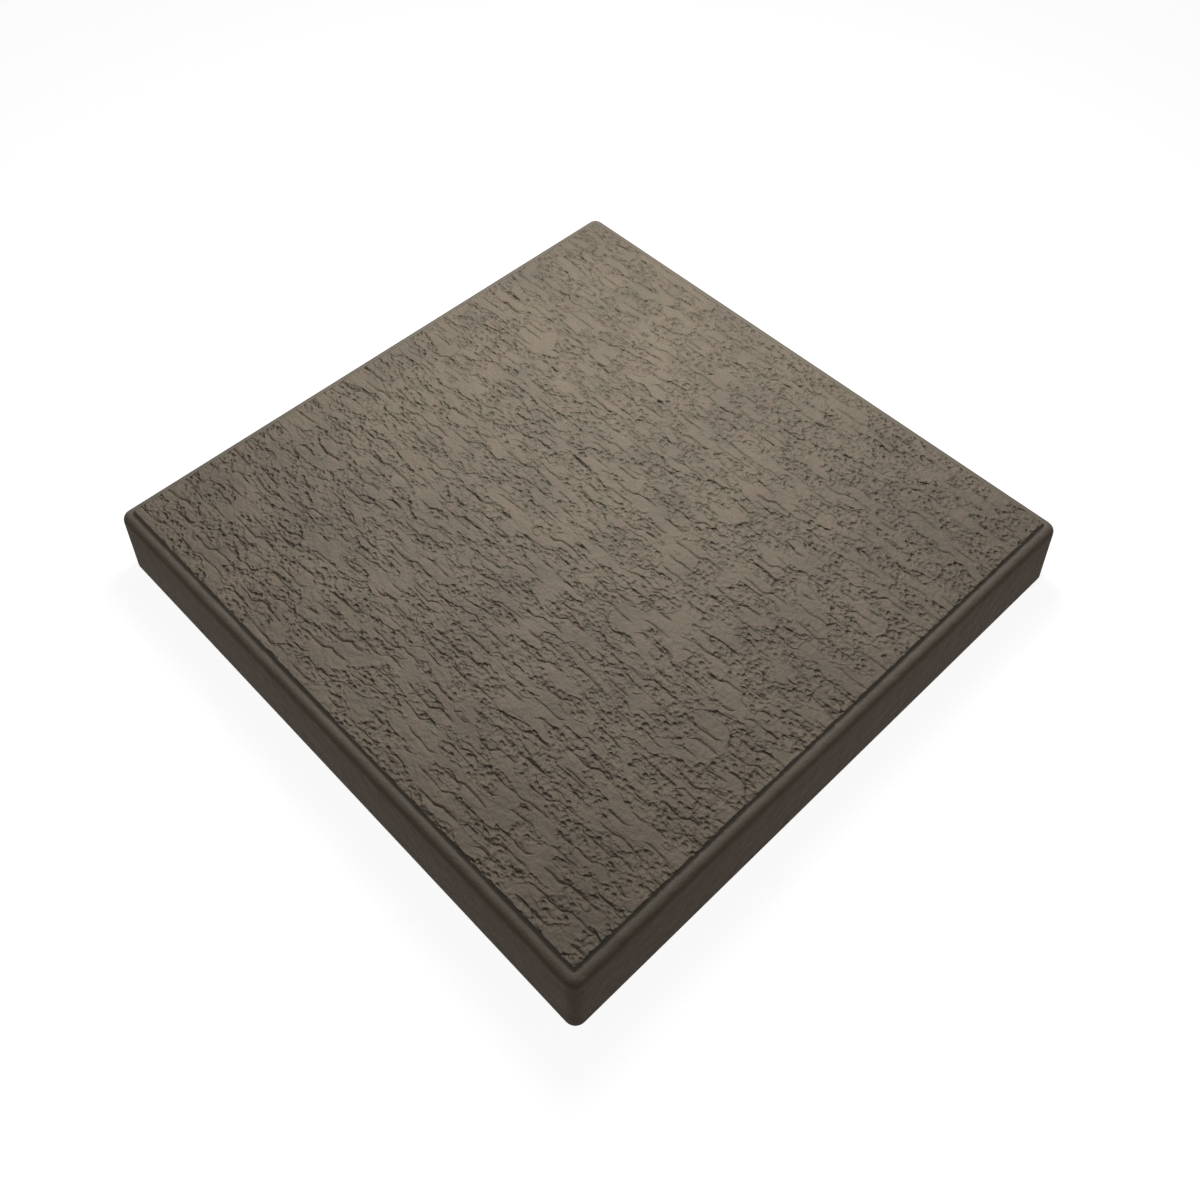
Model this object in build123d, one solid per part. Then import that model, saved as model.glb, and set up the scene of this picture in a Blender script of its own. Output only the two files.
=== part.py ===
from build123d import *
import math
import os

# A square paving slab, cast in one piece. Millimetres, +Z up, the origin at the centre of the underside,
# the grain of the bark relief along X.

# Outer form
side = 400.0  # underside, edge to edge
thickness = 50.0  # underside to the top of the raised field
corner_radius = 6.5  # upright corners
side_draft = 4.2  # inward lean of the sides, degrees
shoulder_radius = 6.0  # round along the top of the sides
ledge = 0.5  # flat strip between the round and the riser
riser_height = 2.3  # step from the ledge up to the field
riser_draft = 20.0  # inward lean of the riser, degrees
field_corner_radius = 2.0  # corners of the field, at the foot of the riser

# Bark relief, furrows cut into the field in rows along the grain
row_pitch = 8.7  # from row to row
row_stray = 0.4  # how far a furrow lies to either side of its row
depth_min = 0.6  # furrow depths
depth_max = 1.1
length_min = 10.0  # furrow lengths
length_max = 42.0
gap_min = 3.0  # unbroken land between two furrows of a row
gap_max = 12.0
long_from = 28.0  # length from which a furrow steps sideways near its middle, and not at an end
jog_min = 1.5  # sideways step of a furrow
jog_max = 4.2
jog_run = 3.5  # length of that step along the grain
tip = 4.0  # length over which a furrow's end runs out
jog_zone = 0.3  # part of a long furrow, about its middle, in which it steps
left_jogs = 0.6  # share of the short furrows that step at their left end
end_share = 0.35  # most of a furrow's length that its step or its tip may take
steep_wall = 45.0  # furrow wall at the far side of a row, degrees from level
gentle_wall = 30.0  # furrow wall at the near side
sway = 1.6  # slow bend of the rows
sway_length = 170.0  # length of one bend along the grain
sway_drift = 0.07  # part of a bend by which each row lags behind the last
clear = 0.2  # height to which the cutters stand clear of the field


def spread(row, place, use):
    """A fixed uneven value from 0 to 1 for a furrow: the fraction of a large sine."""
    return (math.sin(row * 12.9898 + place * 78.233 + use * 37.719) * 43758.5453) % 1.0


def between(low, high, share):
    return low + (high - low) * share


def furrow_line(row, place, start, end):
    """Points (x, y, depth) of a furrow's keel, from tip to tip. It steps up near its middle or at one end."""
    depth = between(depth_min, depth_max, spread(row, place, 3))
    step = between(jog_min, jog_max, spread(row, place, 4)) / 2
    stray = row_stray * between(-1.0, 1.0, spread(row, place, 7))
    low = stray - step
    high = stray + step
    run = min(jog_run, end_share * (end - start))
    taper = min(tip, end_share * (end - start))
    if end - start > long_from:
        middle = (start + end) / 2 + jog_zone * (end - start) * (spread(row, place, 5) - 0.5)
        inner = [(start + taper, low), (middle - run / 2, low)]
        inner += [(middle + run / 2, high), (end - taper, high)]
    elif spread(row, place, 6) < left_jogs:
        inner = [(start + run, high), (end - taper, high)]
    else:
        inner = [(start + taper, low), (end - run, low)]
    stations = [(start, low, -clear)]
    stations += [(x, offset, depth) for x, offset in inner]
    stations += [(end, high, -clear)]
    line = []
    for x, offset, deep in stations:
        bend = sway * math.sin(2 * math.pi * (x / sway_length + sway_drift * row))
        line.append((x, first_row + row * row_pitch + bend + offset, deep))
    return line


def furrow_cutter(line):
    """A closed trough along a keel line: a steep wall, a gentle wall and a flat lid above the field."""
    lid = thickness + clear
    far, keel, near = [], [], []
    for x, y, deep in line:
        drop = deep + clear
        keel.append((x, y, lid - drop))
        far.append((x, y + drop / math.tan(math.radians(steep_wall)), lid))
        near.append((x, y - drop / math.tan(math.radians(gentle_wall)), lid))
    last = len(line) - 1
    faces = [Face(Wire.make_polygon(far + near[last - 1 : 0 : -1]))]
    for wall in (far, near):
        for k in range(last):
            ring = [wall[k], wall[k + 1], keel[k + 1], keel[k]]
            if k == 0:
                ring = ring[:3]
            if k == last - 1:
                ring = [wall[k], wall[k + 1], keel[k]]
            faces.append(Face(Wire.make_polygon(ring)))
    return Solid(Shell(faces))


# Slab body with its rounded upright corners and shoulder
ledge_level = thickness - riser_height
lean = ledge_level * math.tan(math.radians(side_draft))
shoulder_run = shoulder_radius * math.tan(math.radians(90 - side_draft) / 2)
body = extrude(Rectangle(side, side), ledge_level, taper=side_draft)
uprights = body.edges().filter_by_position(Axis.Z, 0, ledge_level, inclusive=(False, False))
body = fillet(uprights, corner_radius)
body = fillet(body.faces().sort_by(Axis.Z)[-1].edges(), shoulder_radius)

# Raised field inside the shoulder
foot_side = side - 2 * (lean + shoulder_run + ledge)
foot = Pos(0, 0, ledge_level) * RectangleRounded(foot_side, foot_side, field_corner_radius)
body += extrude(foot, riser_height, taper=riser_draft)

# Furrows, row by row, their places and sizes spread unevenly. They run out past the left and right edge.
field_half = foot_side / 2 - riser_height * math.tan(math.radians(riser_draft))
half = field_half + tip
reach = jog_max / 2 + row_stray + sway + depth_max / math.tan(math.radians(gentle_wall))
rows = int(2 * (field_half - reach) / row_pitch) + 1
first_row = -row_pitch * (rows - 1) / 2
cutters = []
for row in range(rows):
    x = -half - length_max * spread(row, 0, 0)
    place = 0
    while x < half:
        place += 1
        length = between(length_min, length_max, spread(row, place, 1))
        start = max(x, -half)
        end = min(x + length, half)
        if end - start > length_min:
            cutters.append(furrow_cutter(furrow_line(row, place, start, end)))
        x += length + between(gap_min, gap_max, spread(row, place, 2))
slab = body - cutters
print(len(cutters), "furrows in", rows, "rows")

os.makedirs("parts", exist_ok=True)
export_step(slab, "parts/paving_slab.step")
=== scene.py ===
# %% [markdown]
# A square concrete paving slab with a bark relief on its top, cast in one piece in a mould. The packed
# solid already has the outline, the moulded edge and the main furrows. One could dress that solid with
# bump alone. Here its surface is made again on a much finer grid, so that the furrows wobble and soften
# as they do in a casting and the bark between them has real height. Then it gets its concrete, with pits
# and small breaks.

# %% The frame
import bpy
import numpy as np
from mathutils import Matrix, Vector


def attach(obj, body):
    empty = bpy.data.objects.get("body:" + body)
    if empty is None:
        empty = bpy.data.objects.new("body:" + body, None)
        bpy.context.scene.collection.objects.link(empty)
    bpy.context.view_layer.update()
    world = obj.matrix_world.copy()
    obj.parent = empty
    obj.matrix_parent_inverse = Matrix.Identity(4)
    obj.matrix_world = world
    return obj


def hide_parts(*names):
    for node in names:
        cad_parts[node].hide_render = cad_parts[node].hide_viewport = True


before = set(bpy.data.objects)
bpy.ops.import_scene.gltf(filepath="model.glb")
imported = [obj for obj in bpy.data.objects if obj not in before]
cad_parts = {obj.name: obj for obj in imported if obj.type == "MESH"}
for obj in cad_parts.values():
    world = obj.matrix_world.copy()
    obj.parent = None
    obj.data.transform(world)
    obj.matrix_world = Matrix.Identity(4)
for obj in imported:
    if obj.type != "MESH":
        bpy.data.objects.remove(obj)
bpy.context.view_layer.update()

# %% [markdown]
# The sizes are the solid's own, in metres here. One could measure them on the loaded mesh, but written
# out they show how the mould is made, and everything else is worked out from them: the sides lean in, a
# round shoulder joins them to a narrow ledge, and a steep riser lifts the field above the ledge.

# %% Sizes of the slab
MM = 0.001
side, thickness, corner_radius = 400 * MM, 50 * MM, 6.5 * MM
side_draft, riser_draft = np.radians(4.2), np.radians(20.0)
shoulder_radius, ledge, riser_height, field_corner_radius = 6.0 * MM, 0.5 * MM, 2.3 * MM, 2.0 * MM
ledge_level = thickness - riser_height
lean = ledge_level * np.tan(side_draft)
shoulder_run = shoulder_radius * np.tan((np.pi / 2 - side_draft) / 2)
foot_half = side / 2 - lean - shoulder_run - ledge
field_half = foot_half - riser_height * np.tan(riser_draft)
print("field", round(2 * field_half / MM, 2), "mm square, ledge at", round(ledge_level / MM, 2), "mm")

# %% [markdown]
# Bark is split by furrows along its grain. Here they stand in rows: a long one steps sideways near its
# middle, a short one at an end, and each has a depth of its own. They could be drawn by hand or scattered
# at random. Instead they come from one fixed uneven value, the fraction of a large sine, because the same
# rule placed them in the solid, and so the fine surface has its furrows where the solid has them. A row's
# keel is then one line from edge to edge, and its depth is nought where the land is unbroken.

# %% Rows of furrows
row_pitch, row_stray = 8.7 * MM, 0.4 * MM
depth_min, depth_max = 0.6 * MM, 1.1 * MM
length_min, length_max, gap_min, gap_max = 10 * MM, 42 * MM, 3 * MM, 12 * MM
long_from, jog_min, jog_max, jog_run, tip = 28 * MM, 1.5 * MM, 4.2 * MM, 3.5 * MM, 4.0 * MM
jog_zone, left_jogs, end_share = 0.3, 0.6, 0.35
steep_slope, gentle_slope = np.tan(np.radians(45.0)), np.tan(np.radians(30.0))
sway, sway_length, sway_drift, clear = 1.6 * MM, 170 * MM, 0.07, 0.2 * MM
half = field_half + tip
reach = jog_max / 2 + row_stray + sway + depth_max / gentle_slope
rows = int(2 * (field_half - reach) / row_pitch) + 1


def spread(row, place, use):
    """The fraction of a large sine: a fixed uneven value from 0 to 1."""
    return float(np.sin(row * 12.9898 + place * 78.233 + use * 37.719) * 43758.5453) % 1.0


def between(low, high, share):
    """The value that lies the given share of the way from low to high."""
    return low + (high - low) * share


def furrow(row, place, start, end):
    """Stations (x, sideways offset, depth) of a furrow, from tip to tip. The offset goes from low to high,
    near the middle of a long furrow and at one end of a short one."""
    depth = between(depth_min, depth_max, spread(row, place, 3))
    step = between(jog_min, jog_max, spread(row, place, 4)) / 2
    stray = row_stray * between(-1.0, 1.0, spread(row, place, 7))
    low, high = stray - step, stray + step
    run, taper = min(jog_run, end_share * (end - start)), min(tip, end_share * (end - start))
    if end - start > long_from:
        middle = (start + end) / 2 + jog_zone * (end - start) * (spread(row, place, 5) - 0.5)
        inner = [(start + taper, low), (middle - run / 2, low)]
        inner += [(middle + run / 2, high), (end - taper, high)]
    elif spread(row, place, 6) < left_jogs:
        inner = [(start + run, high), (end - taper, high)]
    else:
        inner = [(start + taper, low), (end - run, low)]
    return [(start, low, -clear)] + [(x, y, depth) for x, y in inner] + [(end, high, -clear)]


def row_stations(row):
    """Stations of a row's furrows, laid from left to right with uneven lengths and gaps."""
    found, x, place = [], -half - length_max * spread(row, 0, 0), 0
    while x < half:
        place += 1
        length = between(length_min, length_max, spread(row, place, 1))
        start, end = max(x, -half), min(x + length, half)
        if end - start > length_min:
            found += furrow(row, place, start, end)
        x += length + between(gap_min, gap_max, spread(row, place, 2))
    return np.array(found)


stations = [row_stations(row) for row in range(rows)]
print(sum(int((s[:, 2] < 0).sum()) for s in stations) // 2, "furrows in", rows, "rows")

# %% [markdown]
# A casting is never quite even. Blender's noise textures work in materials, but the grid needs its
# unevenness as numbers. Value noise is the simplest kind: fixed random numbers on a lattice, blended
# smoothly between its points. It is stretched along the grain for bark, and wider for the casting's
# slight waviness.

# %% Value noise
lattice, shift = 256, 1000.0


def noise(x, y, cell_x, cell_y, seed):
    """Random lattice values, blended with an S-curve between the four nearest points, from -1 to 1."""
    table = np.random.default_rng(seed).uniform(-1, 1, (lattice, lattice))
    u, v = x / cell_x + shift, y / cell_y + shift
    iu, iv = np.floor(u).astype(int), np.floor(v).astype(int)
    fu, fv = u - iu, v - iv
    fu, fv = fu * fu * (3 - 2 * fu), fv * fv * (3 - 2 * fv)
    next_u, next_v, iu, iv = (iu + 1) % lattice, (iv + 1) % lattice, iu % lattice, iv % lattice
    a, b, c, d = table[iu, iv], table[next_u, iv], table[iu, next_v], table[next_u, next_v]
    return (a * (1 - fu) + b * fu) * (1 - fv) + (c * (1 - fu) + d * fu) * fv


print("noise at the origin", round(float(noise(0.0, 0.0, MM, MM, 1)), 3))

# %% [markdown]
# The field could be an even grid, but its narrow walls would then need a great many faces. So the grid's
# lines follow the furrows: for each row one line in the keel, two up the steep wall to its brow, five
# over the land and one half way down the gentle wall of the next row. The walls stay as narrow as they
# are in the solid, and smooth shading rounds their edges as casting does.

# %% Grid of the field
columns, land_shares, front_shares = 192, (0.1, 0.32, 0.55, 0.78, 1.0), (0.0, 0.35, 0.7, 1.0)
wobble, wobble_length = 0.6 * MM, 4.5 * MM
unevenness, uneven_length = 0.2, 6 * MM
across, least_depth = 3 * MM, 0.2 * MM
x = np.linspace(-field_half, field_half, columns)
level = row_pitch * (np.arange(rows) - (rows - 1) / 2)


def keel_line(row):
    """A row's place at every column: its level, the slow bend, the furrows' steps and a slight wobble."""
    bend = sway * np.sin(2 * np.pi * (x / sway_length + sway_drift * row))
    stray = wobble * noise(x, np.full(columns, level[row]), wobble_length, across, 5)
    return level[row] + bend + np.interp(x, stations[row][:, 0], stations[row][:, 1]) + stray


def keel_depth(row):
    """A row's depth at every column, nought between furrows, up to a fifth uneven."""
    deep = np.interp(x, stations[row][:, 0], stations[row][:, 2], left=0, right=0)
    uneven = noise(x, np.full(columns, level[row]), uneven_length, across, 6)
    return np.maximum(deep, 0) * (1 + unevenness * uneven)


keel = np.array([keel_line(row) for row in range(rows)] + [np.full(columns, field_half)])
depth = np.array([keel_depth(row) for row in range(rows)] + [np.zeros(columns)])
wall = np.maximum(depth, least_depth) / steep_slope
ramp_run = np.maximum(depth, least_depth) / gentle_slope
lines = [between(-field_half, keel[0] - ramp_run[0], share) for share in front_shares]
lines += [keel[0] - 0.5 * ramp_run[0]]
depths = [0 * x] * len(front_shares) + [0.5 * depth[0]]
for row in range(rows):
    brow, foot = keel[row] + wall[row], keel[row + 1] - ramp_run[row + 1]
    lines += [keel[row], keel[row] + 0.5 * wall[row], brow]
    lines += [between(brow, foot, share) for share in land_shares]
    lines += [between(foot, keel[row + 1], 0.5)]
    depths += [depth[row], 0.5 * depth[row], 0 * x] + [0 * x] * len(land_shares) + [0.5 * depth[row + 1]]
lines, depths = np.array(lines + [keel[rows]]), np.array(depths + [depth[rows]])
print("field grid", lines.shape, "least line gap in mm", round(float(np.diff(lines, axis=0).min()) / MM, 3))

# %% [markdown]
# Between the furrows, bark has smooth lands and rough ground a little lower. It could be sculpted, but a
# formula gives the same slab each time. A land is where a noise stretched along the grain is high. A
# finer and weaker noise makes its outline uneven, and two more bend it. The rough ground and a slight
# waviness only take away, so that nothing rises above the solid's top.

# %% Heights of the field
edge_round, ground_drop = 0.7 * MM, 0.4 * MM
land_low, land_high, finer_share = -0.24, 0.19, 0.4
bend_size, bend_along, bend_across = 9 * MM, 3.0 * MM, 1.6 * MM
land_length, land_width, finer_length, finer_width = 12.5 * MM, 4.8 * MM, 7 * MM, 2.9 * MM
long_wave, short_wave = 0.10 * MM, 0.05 * MM
gx = np.broadcast_to(x, lines.shape) * (1 - edge_round / field_half)
gy = lines * (1 - edge_round / field_half)
bent_x = gx + bend_along * noise(gx, gy, bend_size, bend_size, 31)
bent_y = gy + bend_across * noise(gx, gy, bend_size, bend_size, 32)
bark = noise(bent_x, bent_y, land_length, land_width, 33)
bark = (bark + finer_share * noise(bent_x, bent_y, finer_length, finer_width, 34)) / (1 + finer_share)
land = np.clip((bark - land_low) / (land_high - land_low), 0, 1)
land = land * land * (3 - 2 * land)
waviness = long_wave * noise(gx, gy, 30 * MM, 12 * MM, 21)
waviness = waviness + short_wave * noise(gx, gy, 7 * MM, 3 * MM, 22)
sink = depths + waviness + ground_drop * (1 - land)
print("land on", round(float(land.mean()), 2), "of the field, bark spread", round(float(bark.std()), 3))
gz = thickness - (sink - sink.min())
field_points = np.stack([gx, gy, gz], -1)
print("deepest point", round(float(thickness - gz.min()) / MM, 2), "mm below the top")

# %% [markdown]
# The moulded edge could be bevelled from a box. Here it is a profile carried round the field, so that it
# starts at the field's own edge points. Each ring of it is a square with rounded corners: the edge points
# are scaled out to it and, past a corner's centre, pulled onto its arc. The profile runs down the riser,
# over the ledge and the round shoulder, down the leaning side and in along the underside to its middle.
# The riser starts at each edge point's own height, so a furrow that meets the edge leaves a notch in it.

# %% Profile of the edge
shoulder_rings, brow_in, bevel, foot_out = 8, 0.3 * MM, 0.1 * MM, 0.35 * MM
turn = np.linspace(0, np.pi / 2 - side_draft, shoulder_rings)
ledge_corner = corner_radius - shoulder_radius * np.cos(side_draft)
top_corner = field_corner_radius - riser_height * np.tan(riser_draft)
riser = [(field_half - brow_in, top_corner, 0.95), (field_half + bevel, top_corner + bevel, 0.75),
         (foot_half - bevel, field_corner_radius - bevel, 0.25),
         (foot_half + foot_out, field_corner_radius, 0.03)]
skirt = [(foot_half + ledge + shoulder_radius * np.sin(t), ledge_corner + shoulder_radius * np.sin(t),
          ledge_level - shoulder_radius * (1 - np.cos(t))) for t in turn]
skirt += [(side / 2 - share * lean, corner_radius, share * ledge_level) for share in (0.45, 0.0)]
skirt += [(side / 2 * share, corner_radius * share, 0.0) for share in (0.7, 0.35)]


def ring(points, half_size, radius, height):
    """The edge points scaled to a square, then set one radius out from the corners' centres."""
    core = half_size - radius
    out = points / np.abs(points).max() * half_size
    centre = np.clip(out, -core, core)
    away = out - centre
    away /= np.linalg.norm(away, axis=1, keepdims=True)
    return np.column_stack([centre + radius * away, np.broadcast_to(height, len(points))])


nl, nc = lines.shape
index = np.arange(nl * nc).reshape(nl, nc)
edge = np.concatenate([index[0, :], index[1:, -1], index[-1, -2::-1], index[-2:0:-1, 0]])
flat = field_points.reshape(-1, 3)
rise = flat[edge, 2] - ledge_level
rings = [ring(flat[edge, :2], size, radius, ledge_level + share * rise) for size, radius, share in riser]
rings += [ring(flat[edge, :2], size, radius, height) for size, radius, height in skirt]
points = np.concatenate([flat, *rings, [[0, 0, 0]]])
print(len(edge), "points round the edge,", len(rings), "rings")

# %% [markdown]
# The grid, the rings and a fan on the underside become one closed mesh, as the casting is one piece.
# Operators could join them, but whole arrays fill the mesh at once and in a known order. It takes the
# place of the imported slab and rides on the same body.

# %% Faces of the slab
quads = [np.stack([index[:-1, :-1], index[:-1, 1:], index[1:, 1:], index[1:, :-1]], -1).reshape(-1, 4)]
loops = [edge] + [nl * nc + k * len(edge) + np.arange(len(edge)) for k in range(len(rings))]
for upper, lower in zip(loops, loops[1:]):
    quads.append(np.stack([upper, lower, np.roll(lower, -1), np.roll(upper, -1)], -1))
quads = np.concatenate(quads)
fan = np.stack([np.full(len(edge), len(points) - 1), np.roll(loops[-1], -1), loops[-1]], -1)


def new_mesh(name, verts, four, three):
    """Fills a mesh with whole arrays: corner points, four-sided faces, then three-sided faces."""
    mesh = bpy.data.meshes.new(name)
    corners = np.concatenate([four.ravel(), three.ravel()]).astype(np.int32)
    sizes = np.concatenate([np.full(len(four), 4), np.full(len(three), 3)]).astype(np.int32)
    mesh.vertices.add(len(verts))
    mesh.vertices.foreach_set("co", np.ascontiguousarray(verts, dtype=np.float32).ravel())
    mesh.loops.add(len(corners))
    mesh.loops.foreach_set("vertex_index", corners)
    mesh.polygons.add(len(sizes))
    mesh.polygons.foreach_set("loop_start", np.concatenate([[0], np.cumsum(sizes)[:-1]]).astype(np.int32))
    mesh.polygons.foreach_set("use_smooth", np.ones(len(sizes), dtype=bool))
    mesh.update(calc_edges=True)
    mesh.validate()
    return mesh


slab_mesh = new_mesh("slab", points, quads, fan)
slab_mesh.set_sharp_from_angle(angle=np.radians(60))
slab = bpy.data.objects.new("slab", slab_mesh)
bpy.context.scene.collection.objects.link(slab)
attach(slab, "root")
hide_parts("paving_slab")
print("slab:", 2 * len(quads) + len(fan), "triangles")

# %% [markdown]
# Concrete gets painted shade in a furrow, on the moulded edge and on a side, and is paler underneath. A
# material could guess that from the height, but the grid knows it exactly. So five values go with every
# point of the mesh for the concrete to read: the bark's noise, how low the point lies in a furrow or in the
# corner under the riser, whether it is on the field, how far down the shoulder it is, and whether it is on
# the underside.

# %% Values for the concrete
wholly_low = 0.55 * MM
low = np.clip(depths / wholly_low, 0, 1)
low = 0.5 * low + 0.25 * np.roll(low, 1, 0) + 0.25 * np.roll(low, -1, 0)
# The low, field and flank values also say where painted shade goes: into furrows and the corner under the
# riser, onto the moulded edge, and down the shoulder and sides.
rings_bark = [0.0] * (shoulder_rings + 8)
rings_low = [0.0, 0.1, 0.3, 0.3] + [0.0] * (shoulder_rings + 4)
rings_field = [0.7, 0.25, 0.0, 0.0] + [0.0] * (shoulder_rings + 4)
rings_flank = [0.0] * 4 + list(np.linspace(0, 1, shoulder_rings)) + [1.0] * 4
rings_under = [0.0] * (shoulder_rings + 6) + [1.0] * 2
all_field = np.ones(lines.shape)
for name, top, per_ring in (("bark", bark, rings_bark), ("low", low, rings_low),
                            ("field", all_field, rings_field), ("flank", 0 * all_field, rings_flank),
                            ("under", 0 * all_field, rings_under)):
    values = np.concatenate([top.ravel(), np.repeat(per_ring, len(edge)), per_ring[-1:]]).astype(np.float32)
    slab_mesh.attributes.new(name, "FLOAT", "POINT").data.foreach_set("value", values)
    print(name, "mean", round(float(values.mean()), 3))

# %% [markdown]
# Concrete is a matt mix of sand, cement and a brown pigment. A picture of it would have seams and a fixed
# fineness, and noise has neither. The material is built from nodes, and a few short helpers keep that
# readable. All patterns read Object coordinates, so they stay put on the slab.

# %% Concrete
concrete = bpy.data.materials.new("cast_concrete")
concrete.use_nodes = True
tree = concrete.node_tree
shader = tree.nodes["Principled BSDF"]


def add(kind, settings=None, **inputs):
    """A node of the concrete. Its sockets, by name or number, get a value or another node's output."""
    node = tree.nodes.new(kind)
    for key, value in (settings or {}).items():
        setattr(node, key, value)
    for key, value in inputs.items():
        socket = node.inputs[int(key[1:])] if key[1:].isdigit() else node.inputs[key.replace("_", " ")]
        if isinstance(value, bpy.types.NodeSocket):
            tree.links.new(value, socket)
        else:
            socket.default_value = value
    return node


def math(operation, a, b=0.0):
    """The result of one Math node on two values."""
    return add("ShaderNodeMath", {"operation": operation}, i0=a, i1=b).outputs[0]


def mix(factor, a, b, blend="MIX"):
    """A colour mix. The colour sockets are the seventh and eighth."""
    settings = {"data_type": "RGBA", "blend_type": blend}
    return add("ShaderNodeMix", settings, i0=factor, i6=a, i7=b).outputs[2]


def ramp(value, low, high):
    """A value taken smoothly from low..high to 0..1."""
    settings = {"interpolation_type": "SMOOTHSTEP"}
    return add("ShaderNodeMapRange", settings, Value=value, From_Min=low, From_Max=high).outputs[0]


def cloud(vector, scale, detail):
    """A noise texture with about scale lumps to the metre and detail finer layers on them."""
    return add("ShaderNodeTexNoise", Vector=vector, Scale=scale, Detail=detail)


drift_scale, mottle_scale, sand_scale, grit_scale = 28.0, 120.0, 900.0, 340.0
place = add("ShaderNodeTexCoord").outputs["Object"]
bark_here = add("ShaderNodeAttribute", {"attribute_name": "bark"}).outputs["Fac"]
low_here = add("ShaderNodeAttribute", {"attribute_name": "low"}).outputs["Fac"]
on_field = add("ShaderNodeAttribute", {"attribute_name": "field"}).outputs["Fac"]
on_flank = add("ShaderNodeAttribute", {"attribute_name": "flank"}).outputs["Fac"]
under_here = add("ShaderNodeAttribute", {"attribute_name": "under"}).outputs["Fac"]
drift = cloud(place, drift_scale, 3.0).outputs["Fac"]
mottle = cloud(place, mottle_scale, 2.0).outputs["Fac"]
sand = cloud(place, sand_scale, 2.0).outputs["Fac"]
grit = cloud(place, grit_scale, 1.0).outputs["Fac"]
print("drift of some", round(1 / drift_scale / MM), "mm, sand of", round(1 / sand_scale / MM, 1), "mm")

# %% [markdown]
# The lands of the bark get a crisper edge here than the grid can give them. The rough ground between them
# has short breaks, a finer noise stretched along the grain, and round pits, the cells of a Voronoi
# texture. As geometry they would need millions of faces, so they are bump. The pits keep out of the
# furrows.

# %% Bark lands and pits
break_scale, pits_per_m = (125.0, 215.0, 125.0), 310.0
wander_scale, wander_size = 110.0, (10 * MM, 6 * MM, 0.0)
wander = cloud(place, wander_scale, 2.0).outputs["Color"]
wander = add("ShaderNodeVectorMath", {"operation": "SUBTRACT"}, i0=wander, i1=(0.5, 0.5, 0.5)).outputs[0]
wander = add("ShaderNodeVectorMath", {"operation": "MULTIPLY"}, i0=wander, i1=wander_size)
bent = add("ShaderNodeVectorMath", {"operation": "ADD"}, i0=place, i1=wander.outputs[0]).outputs[0]
breaks = cloud(add("ShaderNodeMapping", Vector=bent, Scale=break_scale).outputs[0], 1.0, 1.0).outputs["Fac"]
cells = add("ShaderNodeMapping", Vector=place, Scale=(0.8, 1.0, 1.0)).outputs[0]
cells = add("ShaderNodeTexVoronoi", Vector=cells, Scale=pits_per_m).outputs["Distance"]
land_here = ramp(bark_here, land_low, land_high)
open_field = math("MULTIPLY", on_field, math("SUBTRACT", 1.0, low_here))
rough_ground = math("MULTIPLY", on_field, math("SUBTRACT", 1.0, ramp(bark_here, 0.0, 0.22)))
pit = math("MULTIPLY", open_field, math("SUBTRACT", 1.0, ramp(cells, 0.05, 0.52)))
pit = math("MULTIPLY", pit, rough_ground)
dash = math("MULTIPLY", ramp(breaks, 0.43, 0.57), math("ADD", 0.3, math("MULTIPLY", rough_ground, 0.7)))
print("pits about", round(1 / pits_per_m / MM, 1), "mm apart")

# %% [markdown]
# Pigment and sand never mix quite evenly, and one flat colour would look like plastic. So the colour
# drifts over some centimetres, is mottled a little warmer and greener, and is speckled at the size of
# sand. Sand and mottling are in the roughness or the relief too, so that they agree. Painted shade darkens
# the furrows, the pits and the corner under the riser. As painted shade too, the moulded edge is a cooler
# grey and the sides a darker, browner colour. The underside, which lay open in the mould and was smoothed
# by hand, is paler.

# %% Colour, roughness and relief
pale_brown, dark_brown = (0.210, 0.172, 0.128, 1), (0.169, 0.141, 0.108, 1)
warm_brown, green_brown = (0.210, 0.160, 0.120, 1), (0.162, 0.150, 0.107, 1)
# Both colours on the next line are painted shade: a cooler grey for the moulded edge and a darker, browner
# colour for the sides.
rim_shade_grey, side_shade_brown = (0.185, 0.172, 0.148, 1), (0.135, 0.092, 0.062, 1)
# The first colour here is painted shade for the furrows, the pits and the corner under the riser; the pale
# cement is the underside's own colour.
painted_shade_brown, bare_cement = (0.075, 0.062, 0.048, 1), (0.26, 0.235, 0.20, 1)
dark_speck, pale_speck = (0.75, 0.75, 0.75, 1), (1.25, 1.25, 1.25, 1)
bump_height = 1.2 * MM
colour = mix(ramp(drift, 0.3, 0.7), pale_brown, dark_brown)
colour = mix(math("MULTIPLY", ramp(mottle, 0.45, 0.7), 0.5), colour, warm_brown)
colour = mix(math("MULTIPLY", ramp(mottle, 0.55, 0.3), 0.35), colour, green_brown)
# Painted shade: the moulded edge is tinted a cooler grey and the sides a darker, browner colour.
on_rim = math("SUBTRACT", math("SUBTRACT", 1.0, on_field), on_flank)
colour = mix(math("MULTIPLY", on_rim, 0.5), colour, rim_shade_grey)
colour = mix(math("MULTIPLY", on_flank, 0.7), colour, side_shade_brown)
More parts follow.
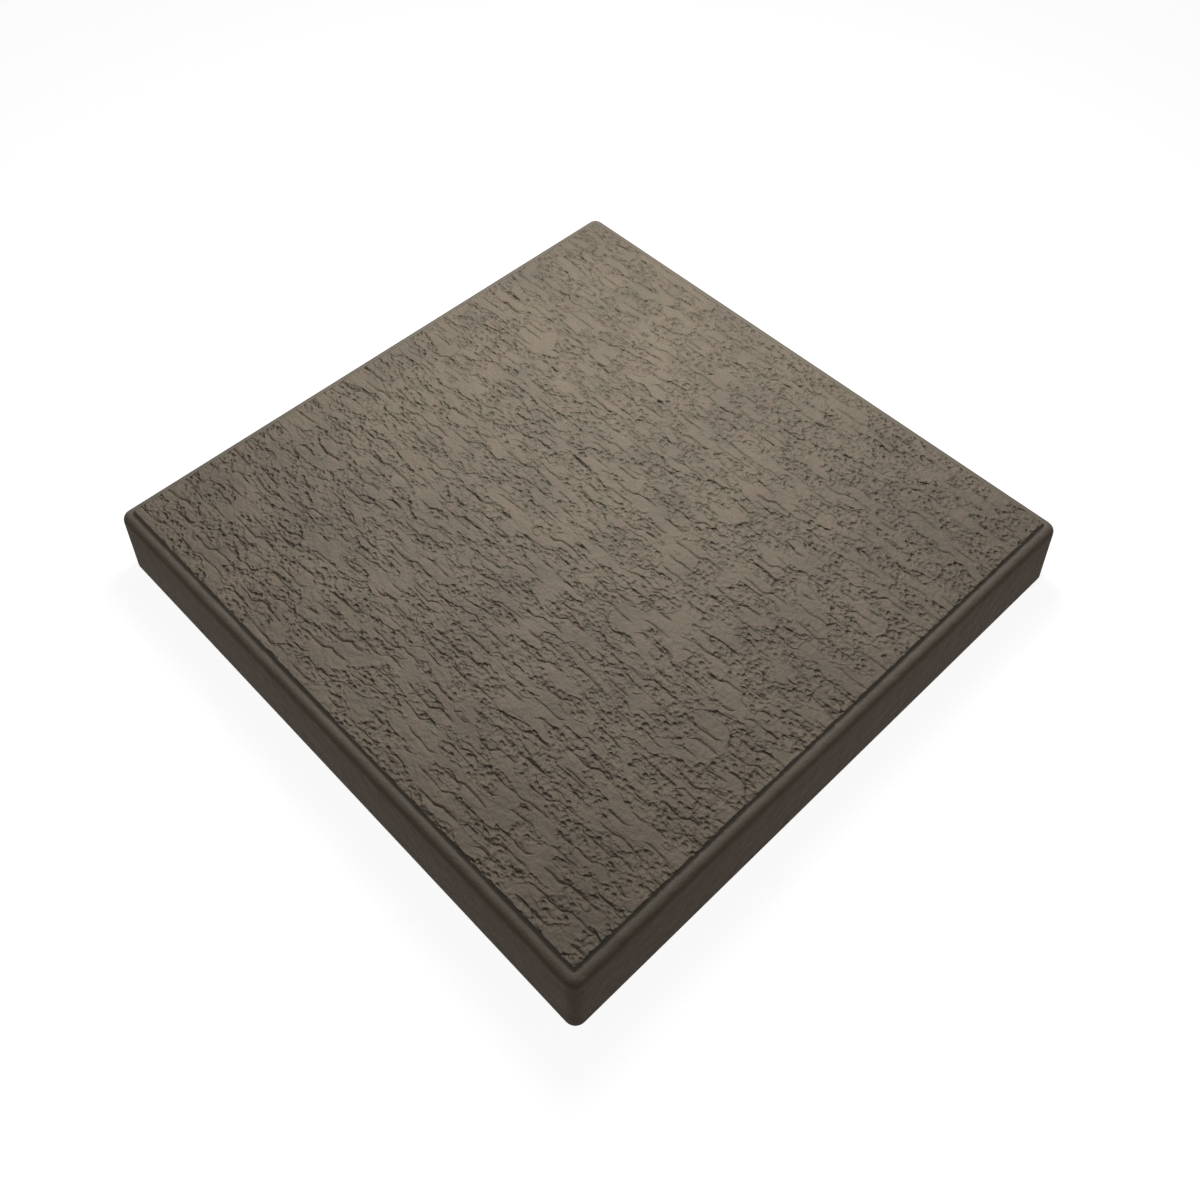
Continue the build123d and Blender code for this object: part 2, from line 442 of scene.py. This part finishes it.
# Painted shade: darker in the furrows, the pits and the corner under the riser.
shade_darkening = math("MAXIMUM", math("MULTIPLY", low_here, 0.08), math("MULTIPLY", pit, 0.15))
colour = mix(shade_darkening, colour, painted_shade_brown)
colour = mix(math("MULTIPLY", under_here, 0.4), colour, bare_cement)
speckle = mix(ramp(sand, 0.25, 0.75), dark_speck, pale_speck)
colour = mix(0.5, colour, speckle, "MULTIPLY")
tree.links.new(colour, shader.inputs["Base Color"])
tree.links.new(math("ADD", 0.62, math("MULTIPLY", sand, 0.3)), shader.inputs["Roughness"])
shader.inputs["Specular IOR Level"].default_value = 0.3
bark_relief = math("ADD", math("MULTIPLY", land_here, 0.8), math("MULTIPLY", dash, 0.6))
bark_relief = math("ADD", bark_relief, math("MULTIPLY", grit, math("ADD", 0.6, rough_ground)))
grain = math("ADD", math("MULTIPLY", sand, 0.15), math("MULTIPLY", mottle, 0.6))
height = math("ADD", grain, math("MULTIPLY", on_field, bark_relief))
height = math("SUBTRACT", height, math("MULTIPLY", pit, 1.3))
bump = add("ShaderNodeBump", Strength=1.0, Distance=bump_height, Height=height)
tree.links.new(bump.outputs[0], shader.inputs["Normal"])
slab_mesh.materials.append(concrete)
print("concrete has", len(tree.nodes), "nodes")

# %% [markdown]
# The slab lies on a plain white floor, as in a shop's picture. A floor that is as bright as it looks
# would light the slab's sides from below. So this one looks white to the camera but throws back only a
# little light, and it still shows the slab's shadow. It lies a hair below the slab, so that the two faces
# don't coincide.

# %% Floor
floor_mesh = bpy.data.meshes.new("floor")
floor_half, floor_level = 6.0, -0.3 * MM
signs = ((-1, -1), (1, -1), (1, 1), (-1, 1))
corners = [(across_x * floor_half, along_y * floor_half, floor_level) for across_x, along_y in signs]
floor_mesh.from_pydata(corners, [], [(0, 1, 2, 3)])
floor = bpy.data.objects.new("floor", floor_mesh)
bpy.context.scene.collection.objects.link(floor)


def seen(nodes, links):
    """1 for rays from the camera and for those that come by way of a reflection, 0 for the rest."""
    path = nodes.new("ShaderNodeLightPath")
    found = path.outputs["Is Camera Ray"]
    for name in ("Is Glossy Ray", "Is Transmission Ray"):
        both = nodes.new("ShaderNodeMath")
        both.operation = "MAXIMUM"
        links.new(found, both.inputs[0])
        links.new(path.outputs[name], both.inputs[1])
        found = both.outputs[0]
    return found


paper = bpy.data.materials.new("white_floor")
paper.use_nodes = True
nodes, links = paper.node_tree.nodes, paper.node_tree.links
nodes.clear()
dull_grey, glow_strength = (0.3, 0.3, 0.3, 1), 0.92
dull, glow = nodes.new("ShaderNodeBsdfDiffuse"), nodes.new("ShaderNodeEmission")
both, choose = nodes.new("ShaderNodeAddShader"), nodes.new("ShaderNodeMixShader")
out = nodes.new("ShaderNodeOutputMaterial")
dull.inputs["Color"].default_value = dull_grey
glow.inputs["Strength"].default_value = glow_strength
links.new(dull.outputs[0], both.inputs[0])
links.new(glow.outputs[0], both.inputs[1])
links.new(seen(nodes, links), choose.inputs[0])
links.new(dull.outputs[0], choose.inputs[1])
links.new(both.outputs[0], choose.inputs[2])
links.new(choose.outputs[0], out.inputs["Surface"])
floor_mesh.materials.append(paper)
print("floor", 2 * floor_half, "m square")

# %% [markdown]
# The main light is soft, like a small window close above the slab's far corner. A lamp far away would
# light front and back alike. So near, its light is steep at the back and grazing at the front: the back
# is brighter, and the steep walls that face the camera are in shade and draw the bark. A weak even light
# from all round fills the shade.

# %% Light
fill_strength, backdrop_strength = 0.09, 0.95
window_size, window_power, window_place = 0.28, 2.42, Vector((-0.13, 0.16, 0.45))
world = bpy.data.worlds.new("studio")
bpy.context.scene.world = world
world.use_nodes = True
nodes, links = world.node_tree.nodes, world.node_tree.links
sky = nodes["Background"]
blend = nodes.new("ShaderNodeMix")
blend.inputs[2].default_value = fill_strength
blend.inputs[3].default_value = backdrop_strength
links.new(seen(nodes, links), blend.inputs[0])
links.new(blend.outputs[0], sky.inputs["Strength"])
sky.inputs["Color"].default_value = (1, 1, 1, 1)
lamp = bpy.data.lights.new("window", "AREA")
lamp.shape, lamp.size, lamp.size_y, lamp.energy = "RECTANGLE", window_size, window_size, window_power
lamp_object = bpy.data.objects.new("window", lamp)
bpy.context.scene.collection.objects.link(lamp_object)
lamp_object.location = window_place
lamp_object.rotation_mode = "QUATERNION"
lamp_object.rotation_quaternion = (Vector((0, 0, 0)) - window_place).to_track_quat("-Z", "Y")
lamp_object.visible_camera = False
print("window light", lamp.energy, "W at", [round(v, 2) for v in lamp_object.location])

# %% [markdown]
# A camera could be placed by eye. This one stands where a fit of the slab's edges in the photograph puts
# it: about 0.75 m away, 55 degrees above the floor, looking at the front corner between two sides. The
# lens is a normal one, and nothing is shifted.

# %% Camera
film_width, focal_pixels, image_pixels = 36.0, 1230.37, 1200
eye, aim = Vector((0.33012, -0.30885, 0.61759)), Vector((0.02341, -0.01200, 0))
lens = bpy.data.cameras.new("camera")
lens.sensor_width, lens.lens = film_width, film_width * focal_pixels / image_pixels
lens.clip_start, lens.clip_end = 0.01, 50.0
camera = bpy.data.objects.new("camera", lens)
bpy.context.scene.collection.objects.link(camera)
camera.location = eye
camera.rotation_mode = "QUATERNION"
camera.rotation_quaternion = (aim - eye).to_track_quat("-Z", "Y")
bpy.context.scene.camera = camera
bpy.context.scene.view_settings.view_transform = "Standard"
print("camera lens", round(lens.lens, 2), "mm")
